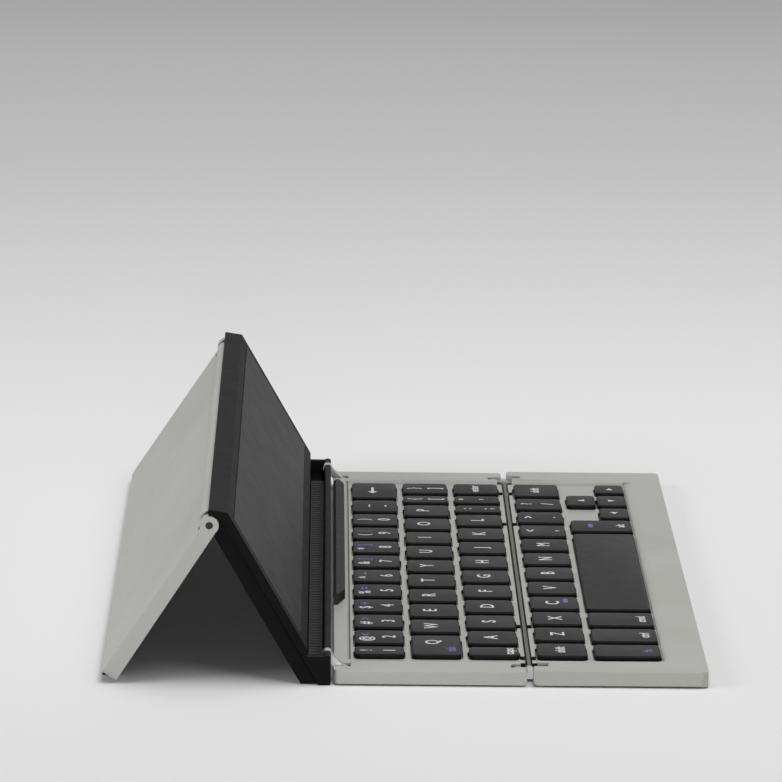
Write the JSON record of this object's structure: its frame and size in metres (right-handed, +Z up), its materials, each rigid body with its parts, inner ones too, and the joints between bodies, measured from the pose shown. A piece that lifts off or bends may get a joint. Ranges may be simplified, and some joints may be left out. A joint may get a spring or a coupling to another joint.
{
  "type": "folding keyboard",
  "caption": "Slim folding tablet keyboard: two key decks on a double-pivot fold, with a tablet rest and a hinged rear leg.",
  "frame": {"origin": "on the desk, under the middle of the whole keyboard's bounding box as it stands open", "axes": "+X along the long side towards the user's right hand, +Y from the user towards the stand, +Z up from the desk"},
  "size_m": [0.248, 0.1704, 0.0502],
  "materials": {
    "casing": "satin",
    "dark_plastic": "matte",
    "steel": "satin",
    "film": "gloss",
    "white_plastic": "matte",
    "dome_rubber": "matte",
    "rubber": "matte",
    "lens": "gloss",
    "black_steel": "satin",
    "cell_foil": "gloss",
    "board": "gloss",
    "black_plastic": "matte",
    "magnet": "polished",
    "keycaps": "matte"
  },
  "bodies": {
    "rear": {"rear_deck": "casing", "rear_cover": "dark_plastic", "rear_key_plate": "steel", "rear_membrane": "film", "rear_scissors": "white_plastic", "rear_domes": "dome_rubber", "rear_feet": "rubber", "rear_screws": "steel", "stop_bar": "dark_plastic", "status_lenses": "lens"},
    "spine": {"spine_bar": "dark_plastic", "spine_links": "steel", "spine_pins": "black_steel"},
    "front": {"front_deck": "casing", "front_cover": "dark_plastic", "front_key_plate": "steel", "front_membrane": "film", "front_scissors": "white_plastic", "front_domes": "dome_rubber", "front_feet": "rubber", "front_screws": "steel", "battery": "cell_foil", "main_board": "board", "charge_port": "steel"},
    "links": {"rest_links": "steel", "rest_link_pins": "black_steel"},
    "rest": {"rest_shell": "black_plastic", "rest_panel": "black_plastic", "rest_magnets": "magnet", "slot_pad": "rubber"},
    "leg": {"leg_shell": "casing", "leg_liner": "black_plastic", "leg_ears": "steel", "leg_pins": "black_steel", "leg_foot": "rubber"},
    "number_keys_left": {"number_keys_left": "keycaps"},
    "number_keys_right": {"number_keys_right": "keycaps"},
    "backspace_key": {"backspace_key": "keycaps"},
    "upper_letters_left": {"upper_letters_left": "keycaps"},
    "upper_letters_right": {"upper_letters_right": "keycaps"},
    "caps_key": {"caps_key": "keycaps"},
    "home_letters_left": {"home_letters_left": "keycaps"},
    "home_letters_right": {"home_letters_right": "keycaps"},
    "enter_key": {"enter_key": "keycaps"},
    "left_shift_key": {"left_shift_key": "keycaps"},
    "lower_letters_left": {"lower_letters_left": "keycaps"},
    "lower_letters_right": {"lower_letters_right": "keycaps"},
    "right_shift_key": {"right_shift_key": "keycaps"},
    "fn_key": {"fn_key": "keycaps"},
    "ctrl_key": {"ctrl_key": "keycaps"},
    "command_key": {"command_key": "keycaps"},
    "space_key": {"space_key": "keycaps"},
    "alt_key": {"alt_key": "keycaps"},
    "left_arrow_key": {"left_arrow_key": "keycaps"},
    "up_arrow_key": {"up_arrow_key": "keycaps"},
    "down_arrow_key": {"down_arrow_key": "keycaps"},
    "right_arrow_key": {"right_arrow_key": "keycaps"}
  },
  "joints": [
    {"name": "spine_fold", "type": "hinge", "parent": "rear", "child": "spine", "pos_m": [0, -0.03181, 0.0023], "axis": [-1, 0, 0], "range_deg": [0, 90]},
    {"name": "front_fold", "type": "hinge", "parent": "spine", "child": "front", "pos_m": [0, -0.03841, 0.0023], "axis": [-1, 0, 0], "range_deg": [0, 90]},
    {"name": "link_turn", "type": "hinge", "parent": "rear", "child": "links", "pos_m": [0, 0.01716, 0.0026], "axis": [1, 0, 0], "range_deg": [0, 45.82]},
    {"name": "rest_turn", "type": "hinge", "parent": "links", "child": "rest", "pos_m": [0, 0.02189, 0.0072], "axis": [1, 0, 0], "range_deg": [0, 74.18]},
    {"name": "leg_turn", "type": "hinge", "parent": "rest", "child": "leg", "pos_m": [0, 0.05506, 0.04568], "axis": [-1, 0, 0], "range_deg": [0, 63.7]},
    {"name": "number_keys_left_press", "type": "slide", "parent": "rear", "child": "number_keys_left", "axis": [0, 0, -1], "range_m": [0, 0.0011], "stiffness_N_per_m": 1440, "springref_m": -0.0008},
    {"name": "number_keys_right_press", "type": "slide", "parent": "rear", "child": "number_keys_right", "axis": [0, 0, -1], "range_m": [0, 0.0011], "stiffness_N_per_m": 1200, "springref_m": -0.0008},
    {"name": "backspace_key_press", "type": "slide", "parent": "rear", "child": "backspace_key", "axis": [0, 0, -1], "range_m": [0, 0.0011], "stiffness_N_per_m": 240, "springref_m": -0.0008},
    {"name": "upper_letters_left_press", "type": "slide", "parent": "rear", "child": "upper_letters_left", "axis": [0, 0, -1], "range_m": [0, 0.0011], "stiffness_N_per_m": 1200, "springref_m": -0.0008},
    {"name": "upper_letters_right_press", "type": "slide", "parent": "rear", "child": "upper_letters_right", "axis": [0, 0, -1], "range_m": [0, 0.0011], "stiffness_N_per_m": 1680, "springref_m": -0.0008},
    {"name": "caps_key_press", "type": "slide", "parent": "rear", "child": "caps_key", "axis": [0, 0, -1], "range_m": [0, 0.0011], "stiffness_N_per_m": 240, "springref_m": -0.0008},
    {"name": "home_letters_left_press", "type": "slide", "parent": "rear", "child": "home_letters_left", "axis": [0, 0, -1], "range_m": [0, 0.0011], "stiffness_N_per_m": 1200, "springref_m": -0.0008},
    {"name": "home_letters_right_press", "type": "slide", "parent": "rear", "child": "home_letters_right", "axis": [0, 0, -1], "range_m": [0, 0.0011], "stiffness_N_per_m": 1440, "springref_m": -0.0008},
    {"name": "enter_key_press", "type": "slide", "parent": "rear", "child": "enter_key", "axis": [0, 0, -1], "range_m": [0, 0.0011], "stiffness_N_per_m": 240, "springref_m": -0.0008},
    {"name": "left_shift_key_press", "type": "slide", "parent": "front", "child": "left_shift_key", "axis": [0, 0, -1], "range_m": [0, 0.0011], "stiffness_N_per_m": 240, "springref_m": -0.0008},
    {"name": "lower_letters_left_press", "type": "slide", "parent": "front", "child": "lower_letters_left", "axis": [0, 0, -1], "range_m": [0, 0.0011], "stiffness_N_per_m": 1200, "springref_m": -0.0008},
    {"name": "lower_letters_right_press", "type": "slide", "parent": "front", "child": "lower_letters_right", "axis": [0, 0, -1], "range_m": [0, 0.0011], "stiffness_N_per_m": 1200, "springref_m": -0.0008},
    {"name": "right_shift_key_press", "type": "slide", "parent": "front", "child": "right_shift_key", "axis": [0, 0, -1], "range_m": [0, 0.0011], "stiffness_N_per_m": 240, "springref_m": -0.0008},
    {"name": "fn_key_press", "type": "slide", "parent": "front", "child": "fn_key", "axis": [0, 0, -1], "range_m": [0, 0.0011], "stiffness_N_per_m": 240, "springref_m": -0.0008},
    {"name": "ctrl_key_press", "type": "slide", "parent": "front", "child": "ctrl_key", "axis": [0, 0, -1], "range_m": [0, 0.0011], "stiffness_N_per_m": 240, "springref_m": -0.0008},
    {"name": "command_key_press", "type": "slide", "parent": "front", "child": "command_key", "axis": [0, 0, -1], "range_m": [0, 0.0011], "stiffness_N_per_m": 240, "springref_m": -0.0008},
    {"name": "space_key_press", "type": "slide", "parent": "front", "child": "space_key", "axis": [0, 0, -1], "range_m": [0, 0.0011], "stiffness_N_per_m": 240, "springref_m": -0.0008},
    {"name": "alt_key_press", "type": "slide", "parent": "front", "child": "alt_key", "axis": [0, 0, -1], "range_m": [0, 0.0011], "stiffness_N_per_m": 240, "springref_m": -0.0008},
    {"name": "left_arrow_key_press", "type": "slide", "parent": "front", "child": "left_arrow_key", "axis": [0, 0, -1], "range_m": [0, 0.0011], "stiffness_N_per_m": 240, "springref_m": -0.0008},
    {"name": "up_arrow_key_press", "type": "slide", "parent": "front", "child": "up_arrow_key", "axis": [0, 0, -1], "range_m": [0, 0.0011], "stiffness_N_per_m": 240, "springref_m": -0.0008},
    {"name": "down_arrow_key_press", "type": "slide", "parent": "front", "child": "down_arrow_key", "axis": [0, 0, -1], "range_m": [0, 0.0011], "stiffness_N_per_m": 240, "springref_m": -0.0008},
    {"name": "right_arrow_key_press", "type": "slide", "parent": "front", "child": "right_arrow_key", "axis": [0, 0, -1], "range_m": [0, 0.0011], "stiffness_N_per_m": 240, "springref_m": -0.0008}
  ],
  "couplings": [
    {"joint": "front_fold", "follows": "spine_fold", "ratio": 1},
    {"joint": "rest_turn", "follows": "link_turn", "ratio": 1.6191}
  ]
}
